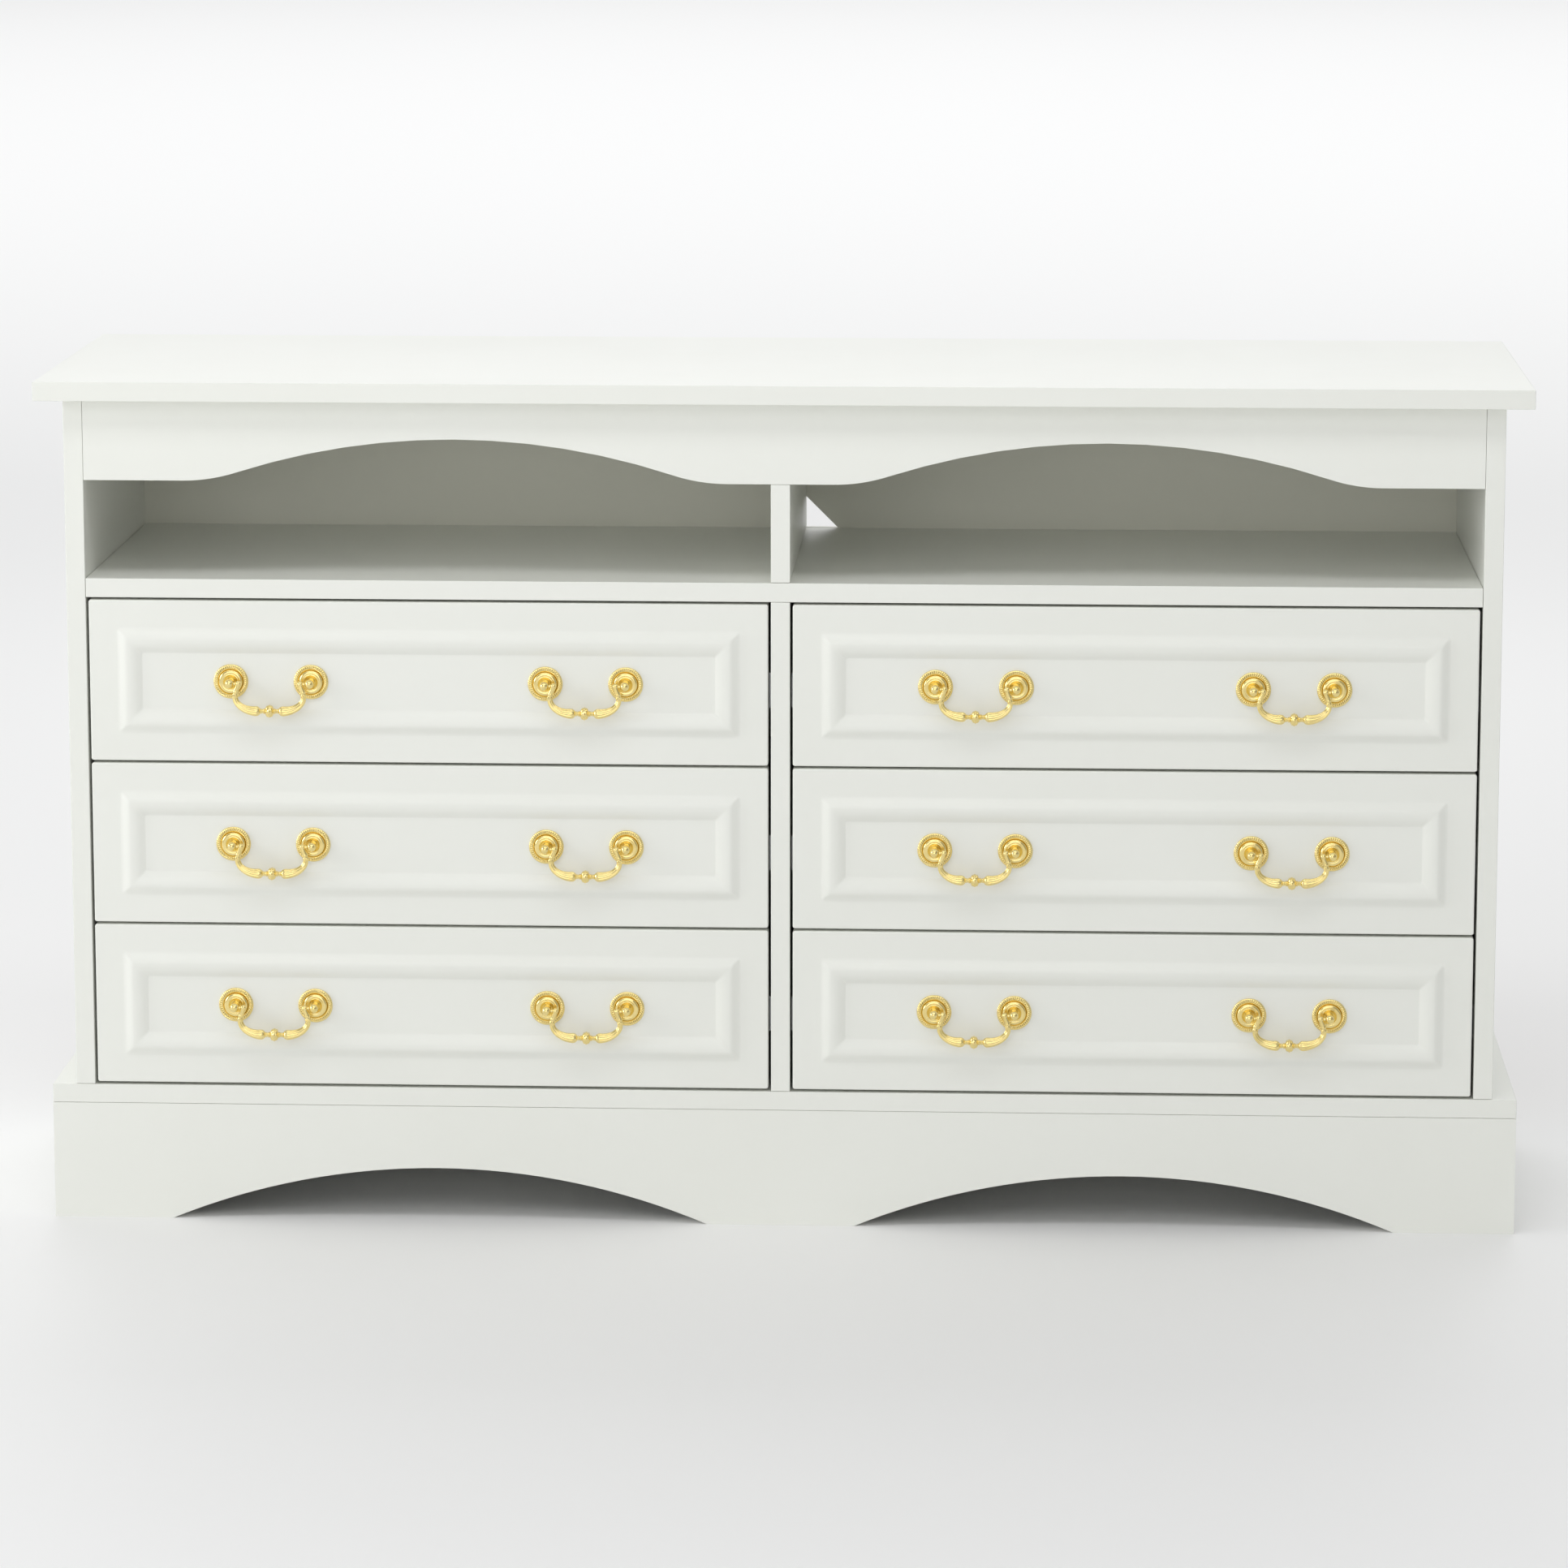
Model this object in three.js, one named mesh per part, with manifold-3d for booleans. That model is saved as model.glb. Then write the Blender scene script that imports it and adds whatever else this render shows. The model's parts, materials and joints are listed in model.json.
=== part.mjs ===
// Low six-drawer dresser with two open cubbies, a scalloped valance and an arched plinth.
// Millimetres, +Z up, +X to the right of someone facing the drawers, and the drawers face -Y.
// The origin is on the floor, under the middle of the top panel.
import * as THREE from "three";
import { mergeVertices } from "three/addons/utils/BufferGeometryUtils.js";
import Module from "manifold-3d";

const wasm = await Module();
wasm.setup();

// ---- Driving dimensions ----

// The whole dresser.
const width = 1400;
const depth = 400;
const height = 810;

// Boards, and the gap left at every butt joint.
const board = 18;
const backBoard = 4;
const fit = 0.3;

// How far the top and the base stand out from the case.
const topOverSide = 25;
const topOverFront = 20;
const topOverBack = 10;
const baseOverSide = 23;

// Plinth.
const apronHeight = 113;
const archRise = 52;
const middleFoot = 141;
const endFoot = 114.5;

// Cubbies and valance.
const cubbyHeight = 170.6;
const valanceDrop = 77;
const scallopRise = 40.5;
const scallopEnd = 94;
const scallopMiddle = 100;

// Grooves that hold the back boards, and the cable corner snipped off one of them.
const backInset = 8;
const grooveDepth = 6;
const cableCorner = 32;

// Drawer fronts: the gap round each, and the moulded frame pressed into its face.
const rows = ["top", "middle", "bottom"];
const reveal = 2.6;
const frontBoard = 18;
const frontEase = 1.5;
const frameMargin = 26;
const frameProfile = [
  [0, 0],
  [2.5, 0.7],
  [6, 3.1],
  [10.5, 4.4],
  [15.5, 3.9],
  [20.5, 2.2],
  [24, 0],
];

// Drawer boxes: a folded shell of two sides and a back, with a thin base let into it.
const shellBoard = 12;
const shellLength = 310;
const shellBelowFront = 14;
const shellHeadroom = 30;
const drawerBase = 3;
const drawerBaseUp = 10;
const drawerGroove = 5;

// Runners, one on each side of a drawer: a channel on the case, and a bar on the drawer that
// slides in it.
const runnerSpace = 13;
const runnerLength = 300;
const runnerHeight = 35;
const runnerDepth = 9;
const runnerSteel = 1.5;
const runnerLip = 3;
const runnerSetback = 2;
const runnerPlay = 0.7;

// Pulls: posts with a ball on a rosette, and a bail that swings between the balls.
const pullSpacing = 298;
const postSpacing = 76;
const pivotOut = 13.5;
const ballRadius = 4.3;
const rosetteRadius = 16;
const pinRadius = 1.3;
const pinClearance = 0.4;
const pinDepth = 2;
const eyeRadius = 3.2;
const eyeFromPost = 8.7;
const bailDrop = 26;
const knobRadius = 6.2;
const leafRadius = 4.6;

// ---- Places worked out from them ----

const yFront = -depth / 2 + topOverFront;
const yRear = depth / 2 - topOverBack;
const caseHalf = width / 2 - topOverSide;
const caseInside = caseHalf - board;
const baseHalf = caseHalf + baseOverSide;
const zBaseTop = apronHeight + board;
const zTopUnder = height - board;
const zShelfTop = zTopUnder - cubbyHeight;
const zShelfUnder = zShelfTop - board;
const frontHeight = (zShelfUnder - zBaseTop - reveal * (rows.length + 1)) / rows.length;
const bayWidth = caseInside - board / 2;
const bayMiddle = (caseInside + board / 2) / 2;
const frontWidth = bayWidth - 2 * reveal;
const yBack = yRear - backInset - backBoard;
const shellHeight = frontHeight - shellBelowFront - shellHeadroom;
const shellHalf = bayWidth / 2 - runnerSpace;

// ---- Materials ----

const paint = (color, roughness, metalness) =>
  new THREE.MeshStandardMaterial({ color, roughness, metalness });
const whiteBoard = paint(0xeeeeea, 0.4, 0);
const drawerBoard = paint(0xe9e9e4, 0.55, 0);
const brass = paint(0xe9bf55, 0.2, 1);
const zincSteel = paint(0xb9bcc0, 0.35, 1);

// ---- Building blocks ----

const dresser = new THREE.Group();

// A closed three.js geometry as a solid that can be joined and cut.
function solid(geometry) {
  const bare = geometry.index ? geometry.toNonIndexed() : geometry.clone();
  bare.deleteAttribute("normal");
  bare.deleteAttribute("uv");
  const merged = mergeVertices(bare, 1e-3);
  const corners = [...merged.index.array];
  const whole = [];
  for (let i = 0; i < corners.length; i += 3) {
    const [a, b, c] = corners.slice(i, i + 3);
    if (a !== b && b !== c && c !== a) whole.push(a, b, c);
  }
  return new wasm.Manifold(
    new wasm.Mesh({
      numProp: 3,
      vertProperties: merged.attributes.position.array,
      triVerts: new Uint32Array(whole),
    }),
  );
}

// The solid back as a three.js geometry.
function geometryOf(body) {
  const mesh = body.getMesh();
  const geometry = new THREE.BufferGeometry();
  geometry.setAttribute("position", new THREE.BufferAttribute(mesh.vertProperties, 3));
  geometry.setIndex(new THREE.BufferAttribute(mesh.triVerts, 1));
  geometry.computeVertexNormals();
  return geometry;
}

// A box between two values on each axis.
function slab([x0, x1], [y0, y1], [z0, z1]) {
  const geometry = new THREE.BoxGeometry(x1 - x0, y1 - y0, z1 - z0);
  return geometry.translate((x0 + x1) / 2, (y0 + y1) / 2, (z0 + z1) / 2);
}

// An outline in X and Z, given a thickness from y0 to y1.
function upright(outline, y0, y1, curveSegments = 12) {
  const geometry = new THREE.ExtrudeGeometry(outline, {
    depth: y1 - y0,
    bevelEnabled: false,
    curveSegments,
  });
  return geometry.rotateX(Math.PI / 2).translate(0, y1, 0);
}

// Cuts the other geometries out of the first.
function cut(geometry, ...tools) {
  return geometryOf(tools.reduce((body, tool) => body.subtract(solid(tool)), solid(geometry)));
}

function add(group, name, geometry, material) {
  const mesh = new THREE.Mesh(geometry, material);
  mesh.name = name;
  group.add(mesh);
  return mesh;
}

// A span given on the left (side -1), or the matching one on the right (side +1).
function mirrored([x0, x1], side) {
  return side < 0 ? [x0, x1] : [-x1, -x0];
}

// ---- Case ----

function makeTopAndSides() {
  const top = slab([-width / 2, width / 2], [-depth / 2, depth / 2], [zTopUnder, height]);
  add(dresser, "top_panel", top, whiteBoard);
  for (const [name, side] of [["left", -1], ["right", 1]]) {
    const panel = slab(
      mirrored([-caseHalf, -caseInside], side),
      [yFront, yRear],
      [zBaseTop + fit, zTopUnder - fit],
    );
    const groove = slab(
      mirrored([-caseInside - grooveDepth, -caseInside + 1], side),
      [yBack - fit, yBack + backBoard + fit],
      [zBaseTop - 1, zTopUnder + 1],
    );
    add(dresser, `${name}_side_panel`, cut(panel, groove), whiteBoard);
  }
}

// The shelf runs from side to side, with a groove above and below for the back boards.
function makeShelf() {
  const ends = [-caseInside + fit, caseInside - fit];
  const panel = slab(ends, [yFront, yRear], [zShelfUnder, zShelfTop]);
  const grooveAt = (z0, z1) =>
    slab([-width, width], [yBack - fit, yBack + backBoard + fit], [z0, z1]);
  const shelf = cut(
    panel,
    grooveAt(zShelfTop - grooveDepth, zShelfTop + 1),
    grooveAt(zShelfUnder - 1, zShelfUnder + grooveDepth),
  );
  add(dresser, "shelf_panel", shelf, whiteBoard);
}

// Two dividers, one above the shelf, notched round the valance, and one below it.
function makeDividers() {
  const half = board / 2;
  const grooves = [-1, 1].map((side) =>
    slab(
      mirrored([-half - 1, -half + grooveDepth], side),
      [yBack - fit, yBack + backBoard + fit],
      [0, height],
    ),
  );
  const upper = slab([-half, half], [yFront, yRear], [zShelfTop + fit, zTopUnder - fit]);
  const notch = slab(
    [-board, board],
    [yFront - 1, yFront + board + fit],
    [zTopUnder - valanceDrop - fit, zTopUnder + 1],
  );
  add(dresser, "upper_divider", cut(upper, notch, ...grooves), whiteBoard);
  const lower = slab([-half, half], [yFront, yRear], [zBaseTop + fit, zShelfUnder - fit]);
  add(dresser, "lower_divider", cut(lower, ...grooves), whiteBoard);
}

// The valance hangs under the top, and its lower edge rises in one flat arch over each cubby:
// a short hollow curve at each end runs smoothly into a long round one.
function makeValance() {
  const end = caseInside - fit;
  const zLow = zTopUnder - valanceDrop;
  const outline = new THREE.Shape();
  outline.moveTo(-end, zTopUnder - fit);
  outline.lineTo(-end, zLow);
  for (const side of [-1, 1]) {
    const x0 = side < 0 ? -caseInside + scallopEnd : scallopMiddle / 2;
    const x1 = side < 0 ? -scallopMiddle / 2 : caseInside - scallopEnd;
    scallop(outline, x0, x1, zLow);
  }
  outline.lineTo(end, zLow);
  outline.lineTo(end, zTopUnder - fit);
  add(dresser, "valance", upright(outline, yFront, yFront + board, 6), whiteBoard);
}

// Adds the arch from x0 to x1: four arcs of two radii that meet without a corner.
function scallop(outline, x0, x1, z) {
  const halfSpan = (x1 - x0) / 2;
  const turn = 2 * Math.atan(scallopRise / halfSpan);
  const reach = halfSpan / Math.sin(turn);
  const hollow = reach * 0.2;
  const round = reach - hollow;
  const middle = (x0 + x1) / 2;
  const up = Math.PI / 2;
  outline.absarc(x0, z + hollow, hollow, -up, -up + turn, false);
  outline.absarc(middle, z + scallopRise - round, round, up + turn, up - turn, true);
  outline.absarc(x1, z + hollow, hollow, -up - turn, -up, false);
}

function makeBacks() {
  const outer = caseInside + grooveDepth - fit;
  const inner = board / 2 - grooveDepth + fit;
  const zLow = zShelfTop - grooveDepth + fit;
  const zHigh = zTopUnder - fit;
  const ys = [yBack, yBack + backBoard];
  const left = slab([-outer, -inner], ys, [zLow, zHigh]);
  add(dresser, "upper_back_left", left, whiteBoard);
  // The right board's lower inner corner is snipped off at 45 degrees to let cables through.
  const snip = cableCorner + board / 2 + zShelfTop;
  const outline = new THREE.Shape();
  outline.moveTo(snip - zLow, zLow);
  outline.lineTo(outer, zLow);
  outline.lineTo(outer, zHigh);
  outline.lineTo(inner, zHigh);
  outline.lineTo(inner, snip - inner);
  add(dresser, "upper_back_right", upright(outline, ...ys), whiteBoard);
  const lowerZ = [zBaseTop + fit, zShelfUnder + grooveDepth - fit];
  add(dresser, "lower_back_left", slab([-outer, -inner], ys, lowerZ), whiteBoard);
  add(dresser, "lower_back_right", slab([inner, outer], ys, lowerZ), whiteBoard);
}

// ---- Plinth ----

function makePlinth() {
  const zs = [0, apronHeight - fit];
  const yRail = yRear - board;
  const between = [yFront + board + fit, yRail - fit];
  const base = slab([-baseHalf, baseHalf], [yFront, yRear], [apronHeight, zBaseTop]);
  add(dresser, "base_panel", base, whiteBoard);
  add(dresser, "front_apron", upright(apronOutline(), yFront, yFront + board, 16), whiteBoard);
  add(dresser, "rear_apron", slab([-baseHalf, baseHalf], [yRail, yRear], zs), whiteBoard);
  const side = [-baseHalf, -baseHalf + board];
  add(dresser, "left_side_apron", slab(mirrored(side, -1), between, zs), whiteBoard);
  add(dresser, "right_side_apron", slab(mirrored(side, 1), between, zs), whiteBoard);
  add(dresser, "centre_support", slab([-board / 2, board / 2], between, zs), whiteBoard);
}

// A straight board with a round arch on each side of its middle foot.
function apronOutline() {
  const top = apronHeight - fit;
  const inner = middleFoot / 2;
  const outer = baseHalf - endFoot;
  const halfSpan = (outer - inner) / 2;
  const radius = (halfSpan ** 2 + archRise ** 2) / (2 * archRise);
  const turn = Math.asin(halfSpan / radius);
  const outline = new THREE.Shape();
  outline.moveTo(-baseHalf, top);
  outline.lineTo(-baseHalf, 0);
  for (const side of [-1, 1]) {
    const middle = (side * (inner + outer)) / 2;
    const up = Math.PI / 2;
    outline.absarc(middle, archRise - radius, radius, up + turn, up - turn, true);
  }
  outline.lineTo(baseHalf, 0);
  outline.lineTo(baseHalf, top);
  return outline;
}

// ---- Runners ----

// The runner member on the case: a channel with its mouth towards the drawer.
function runner(side) {
  const half = runnerHeight / 2;
  const outline = new THREE.Shape();
  const corners = [
    [0, -half],
    [runnerDepth, -half],
    [runnerDepth, -half + runnerLip],
    [runnerDepth - runnerSteel, -half + runnerLip],
    [runnerDepth - runnerSteel, -half + runnerSteel],
    [runnerSteel, -half + runnerSteel],
  ];
  const upper = corners.map(([x, z]) => [x, -z]).reverse();
  for (const [x, z] of [...corners, ...upper]) outline.lineTo(x, z);
  const geometry = upright(outline, 0, runnerLength);
  return side < 0 ? geometry : geometry.rotateZ(Math.PI).translate(0, runnerLength, 0);
}

// ---- Drawers ----

// A board in X and Z whose front face is built up from rings: each ring is a rectangle drawn
// in from the edge by an inset and standing out by a height.
function facedBoard(fullWidth, fullHeight, thickness, rings) {
  const loops = [[0, -thickness], ...rings];
  const points = [];
  for (const [inset, out] of loops) {
    const x = fullWidth / 2 - inset;
    const z = fullHeight / 2 - inset;
    points.push([-x, -out, -z], [x, -out, -z], [x, -out, z], [-x, -out, z]);
  }
  const faces = [0, 2, 1, 0, 3, 2];
  for (let ring = 0; ring + 1 < loops.length; ring += 1) {
    for (let side = 0; side < 4; side += 1) {
      const a = ring * 4 + side;
      const b = ring * 4 + ((side + 1) % 4);
      faces.push(a, b, b + 4, a, b + 4, a + 4);
    }
  }
  const last = (loops.length - 1) * 4;
  faces.push(last, last + 1, last + 2, last, last + 2, last + 3);
  const geometry = new THREE.BufferGeometry();
  geometry.setAttribute("position", new THREE.Float32BufferAttribute(points.flat(), 3));
  geometry.setIndex(faces);
  return geometry;
}

// A turned post: rosette, waist and ball, standing out towards -Y from its own foot.
function post() {
  const rim = rosetteRadius;
  const sunk = -1;
  const waist = ballRadius * 0.62;
  const profile = [
    [0, sunk],
    [rim, sunk],
    [rim, 1.5],
    [rim - 1.6, 2.8],
    [rim * 0.7, 1.8],
    [rim * 0.64, 4.2],
    [rim * 0.34, 4.8],
    [waist, 4.4],
    [waist, pivotOut - ballRadius * 0.8],
    [ballRadius, pivotOut - ballRadius * 0.35],
    [ballRadius, pivotOut + ballRadius * 0.35],
    [ballRadius * 0.6, pivotOut + ballRadius * 0.8],
    [0, pivotOut + ballRadius],
  ];
  const turned = new THREE.LatheGeometry(
    profile.map(([r, out]) => new THREE.Vector2(r, out)),
    8,
  );
  return turned.rotateX(Math.PI);
}

// A drawer front with the four posts of its two pulls fixed to it, bored for the bail pins.
function drawerFront() {
  const rings = [
    [0, -frontEase],
    [frontEase, 0],
    ...frameProfile.map(([inset, out]) => [frameMargin + inset, out]),
  ];
  let body = solid(facedBoard(frontWidth, frontHeight, frontBoard, rings));
  const holeLength = pinDepth + ballRadius;
  for (const pull of [-1, 1]) {
    for (const end of [-1, 1]) {
      const x = (pull * pullSpacing) / 2 + (end * postSpacing) / 2;
      const hole = new THREE.CylinderGeometry(
        pinRadius + pinClearance,
        pinRadius + pinClearance,
        holeLength,
        10,
      );
      hole.rotateZ(Math.PI / 2);
      hole.translate(x - end * (ballRadius - pinDepth - pinClearance + holeLength / 2), -pivotOut, 0);
      body = body.add(solid(post().translate(x, 0, 0))).subtract(solid(hole));
    }
  }
  return geometryOf(body);
}

// The shell is one board, folded at two corners into the sides and back, and grooved for
// the drawer base. The bars that slide in the runners are fixed to its sides.
function drawerShell() {
  const zs = [-frontHeight / 2 + shellBelowFront, -frontHeight / 2 + shellBelowFront + shellHeight];
  const y0 = frontBoard + fit;
  const y1 = y0 + shellLength;
  const inside = shellHalf - shellBoard;
  const outer = slab([-shellHalf, shellHalf], [y0, y1], zs);
  const hollow = slab([-inside, inside], [y0 - 1, y1 - shellBoard], [zs[0] - 1, zs[1] + 1]);
  const floor = zs[0] + drawerBaseUp;
  const groove = slab(
    [-inside - drawerGroove, inside + drawerGroove],
    [y0 - 1, y1 - shellBoard + drawerGroove],
    [floor - fit, floor + drawerBase + fit],
  );
  let body = solid(cut(outer, hollow, groove));
  const barEnd = bayWidth / 2 - fit - runnerSteel - runnerPlay;
  const barHalf = runnerHeight / 2 - runnerLip - runnerPlay;
  const level = (zs[0] + zs[1]) / 2;
  const barStart = frontBoard + runnerSetback;
  for (const side of [-1, 1]) {
    const bar = slab(
      mirrored([-barEnd, -shellHalf + 1], side),
      [barStart, barStart + runnerLength],
      [level - barHalf, level + barHalf],
    );
    body = body.add(solid(bar));
  }
  return geometryOf(body);
}

function drawerFloor() {
  const half = shellHalf - shellBoard + drawerGroove - fit;
  const y0 = frontBoard + fit;
  const floor = -frontHeight / 2 + shellBelowFront + drawerBaseUp;
  const y1 = y0 + shellLength - shellBoard + drawerGroove - fit;
  return slab([-half, half], [y0, y1], [floor, floor + drawerBase]);
}

// The bail's line from one eye round to the other, from above the first post's end.
function bailLine() {
  const eye = postSpacing / 2 - eyeFromPost;
  const half = [
    [eye, 0],
    [eye + 2.6, -0.32 * bailDrop],
    [eye + 3.1, -0.48 * bailDrop],
    [eye + 1, -0.73 * bailDrop],
    [eye - 2.6, -0.92 * bailDrop],
    [eye - 8.2, -1.01 * bailDrop],
    [eye - 14.6, -bailDrop],
  ];
  const left = half.map(([x, z]) => new THREE.Vector3(-x, 0, z));
  const right = half.map(([x, z]) => new THREE.Vector3(x, 0, z)).reverse();
  return new THREE.CatmullRomCurve3([...left, new THREE.Vector3(0, 0, -bailDrop), ...right]);
}

// The bail: a turned bar, swelling into a leaf on each side of its middle knob, bent to its
// line, with an eye and a pin at each end.
function bail() {
  const line = bailLine();
  const half = [
    [0, 0],
    [2, 0.02],
    [2.1, 0.09],
    [2.7, 0.18],
    [3, 0.26],
    [4, 0.33],
    [leafRadius, 0.37],
    [3.6, 0.4],
    [2, 0.415],
    [2.4, 0.45],
    [knobRadius * 0.8, 0.465],
    [knobRadius, 0.49],
  ];
  const profile = [...half, ...half.map(([r, along]) => [r, 1 - along]).reverse()];
  const bar = new THREE.LatheGeometry(
    profile.map(([r, along]) => new THREE.Vector2(r, along)),
    8,
  );
  const place = bar.getAttribute("position");
  for (let i = 0; i < place.count; i += 1) {
    const along = Math.min(Math.max(place.getY(i), 0), 1);
    const at = line.getPointAt(along);
    const ahead = line.getTangentAt(along);
    const across = place.getX(i);
    place.setXYZ(i, at.x - ahead.z * across, place.getZ(i), at.z + ahead.x * across);
  }
  let body = solid(bar);
  if (body.volume() < 0) throw new Error("the bail's bar is inside out");
  const eye = postSpacing / 2 - eyeFromPost;
  const pinEnd = postSpacing / 2 - ballRadius + pinDepth;
  for (const end of [-1, 1]) {
    const ball = new THREE.SphereGeometry(eyeRadius, 6, 4).translate(end * eye, 0, 0);
    const pin = new THREE.CylinderGeometry(pinRadius, pinRadius, pinEnd - eye, 8);
    pin.rotateZ(Math.PI / 2).translate((end * (pinEnd + eye)) / 2, 0, 0);
    body = body.add(solid(ball)).add(solid(pin));
  }
  return geometryOf(body);
}

function makeDrawers() {
  const front = drawerFront();
  const shell = drawerShell();
  const floor = drawerFloor();
  const swing = bail();
  rows.forEach((row, rank) => {
    for (const [column, side] of [["left", -1], ["right", 1]]) {
      const drawer = new THREE.Group();
      const step = frontHeight + reveal;
      drawer.position.set(
        side * bayMiddle,
        yFront,
        zShelfUnder - reveal - frontHeight / 2 - rank * step,
      );
      const name = `${row}_${column}`;
      add(drawer, `drawer_${name}_front`, front, whiteBoard);
      add(drawer, `drawer_${name}_shell`, shell, drawerBoard);
      add(drawer, `drawer_${name}_base`, floor, drawerBoard);
      [-1, 1].forEach((end, index) => {
        const mesh = add(drawer, `bail_${name}_${index + 1}`, swing, brass);
        mesh.position.set((end * pullSpacing) / 2, -pivotOut, 0);
      });
      dresser.add(drawer);
      makeRunners(name, side, drawer.position.z);
    }
  });
}

function makeRunners(name, side, z) {
  const level = z - frontHeight / 2 + shellBelowFront + shellHeight / 2;
  for (const wall of [-1, 1]) {
    const where = wall === side ? "case_side" : "divider_side";
    const mesh = add(dresser, `runner_${name}_${where}`, runner(wall), zincSteel);
    const x = side * bayMiddle + wall * (bayWidth / 2 - fit);
    mesh.position.set(x, yFront + frontBoard + runnerSetback, level);
  }
}

makeTopAndSides();
makeShelf();
makeDividers();
makeValance();
makeBacks();
makePlinth();
makeDrawers();

export default dresser;
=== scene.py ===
# Looks of a low white dresser: six drawers with brass bail pulls under two open cubbies.
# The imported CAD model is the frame. Sizes are in metres, +Z is up and the drawers face -Y.
import json
import math

import bmesh
import bpy
from mathutils import Matrix, Vector
from mathutils.geometry import interpolate_bezier


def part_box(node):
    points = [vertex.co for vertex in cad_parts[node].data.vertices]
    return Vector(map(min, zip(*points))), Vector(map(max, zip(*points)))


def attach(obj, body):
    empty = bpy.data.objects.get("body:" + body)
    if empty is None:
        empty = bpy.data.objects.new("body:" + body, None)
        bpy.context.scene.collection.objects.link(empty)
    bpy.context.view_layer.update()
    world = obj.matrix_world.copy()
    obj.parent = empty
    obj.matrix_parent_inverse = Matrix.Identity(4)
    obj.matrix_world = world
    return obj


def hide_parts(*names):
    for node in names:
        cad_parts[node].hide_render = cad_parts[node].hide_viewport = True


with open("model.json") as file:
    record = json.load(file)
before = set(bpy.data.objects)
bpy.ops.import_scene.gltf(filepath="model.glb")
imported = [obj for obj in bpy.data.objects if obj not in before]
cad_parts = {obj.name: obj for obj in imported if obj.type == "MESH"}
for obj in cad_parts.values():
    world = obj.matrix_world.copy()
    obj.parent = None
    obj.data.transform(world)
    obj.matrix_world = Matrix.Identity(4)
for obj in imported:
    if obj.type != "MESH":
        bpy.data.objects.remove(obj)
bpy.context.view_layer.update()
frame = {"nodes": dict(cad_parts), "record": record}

MM = 0.001
FULL_TURN = 2 * math.pi

# ---- Sizes that the CAD model fixes ----

ROWS = ("top", "middle", "bottom")
COLUMNS = ("left", "right")
FRONT_BOARD = 18 * MM
FRAME_MARGIN = 26 * MM
FRAME_WIDTH = 24 * MM
FRAME_CROWN = 10.5 * MM
FRAME_HEIGHT = 4.4 * MM
SHELL_BOARD = 12 * MM
RUNNER_LENGTH = 300 * MM
RUNNER_BAR_OUT = 10.5 * MM
RUNNER_BAR_HEIGHT = 27.6 * MM
PULL_SPACING = 298 * MM
POST_SPACING = 76 * MM
PIVOT_OUT = 13.5 * MM
BALL = 4.3 * MM
EYE_FROM_POST = 8.7 * MM
EYE_BALL = 2.9 * MM
PIN = 1.3 * MM
PIN_DEPTH = 0.1 * MM
BAIL_DROP = 26 * MM

# ---- Sizes of the details ----

BOARD_EASE = 0.7 * MM
FRONT_EASE = 1.4 * MM
FRONT_CORNER = 2.2 * MM
MITRE_EASE = 1.6 * MM
BOX_EASE = 0.5 * MM
STEEL = 1.2 * MM
STEEL_FOLD = 1.4 * MM
CHANNEL_DEPTH = 9 * MM
CHANNEL_HEIGHT = 35 * MM
CHANNEL_LIP = 2.4 * MM
BAR_CLEARANCE = 0.2 * MM
BAR_LIP = 2.0 * MM
CHANNEL_SCREWS = (37 * MM, 165 * MM, 261 * MM)
BAR_SCREWS = (22 * MM, 118 * MM, 246 * MM)
CAM_SETBACK = 24 * MM
CAM_HEIGHTS = (("low", 0.3), ("high", 0.75))
LINEN_PITCH = 1.1 * MM
SCREEN_PITCH = 2.2 * MM
SCREEN_DEPTH = 0.12 * MM
ROSETTE_FLUTES = 46
BAIL_FLUTES = 10
BAIL_KNOB = 10.5 * MM
BAIL_TIP = 9 * MM

# ---- Studio: lens in millimetres, angles in degrees ----

FLOOR_REACH = 60
LAMP_TINT = (0.985, 0.99, 1)
WORLD_STRENGTH = 0.4
CAMERA_LENS = 129.4
CAMERA_SHIFT = -0.1
CAMERA_PLACE = (0.247, -5.399, 1.446)
CAMERA_DIP = 9.415
CAMERA_TURN = 2.672


# ---- Shader maths ----


class Value:
    """What a shader socket carries. Python's operators on it add Math nodes."""

    def __init__(self, graph, socket):
        self.graph = graph
        self.socket = socket

    def __add__(self, other):
        return self.graph.math("ADD", self, other)

    def __sub__(self, other):
        return self.graph.math("SUBTRACT", self, other)

    def __rsub__(self, other):
        return self.graph.math("SUBTRACT", other, self)

    def __mul__(self, other):
        return self.graph.math("MULTIPLY", self, other)

    def __gt__(self, other):
        return self.graph.math("GREATER_THAN", self, other)

    __radd__ = __add__
    __rmul__ = __mul__


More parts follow.
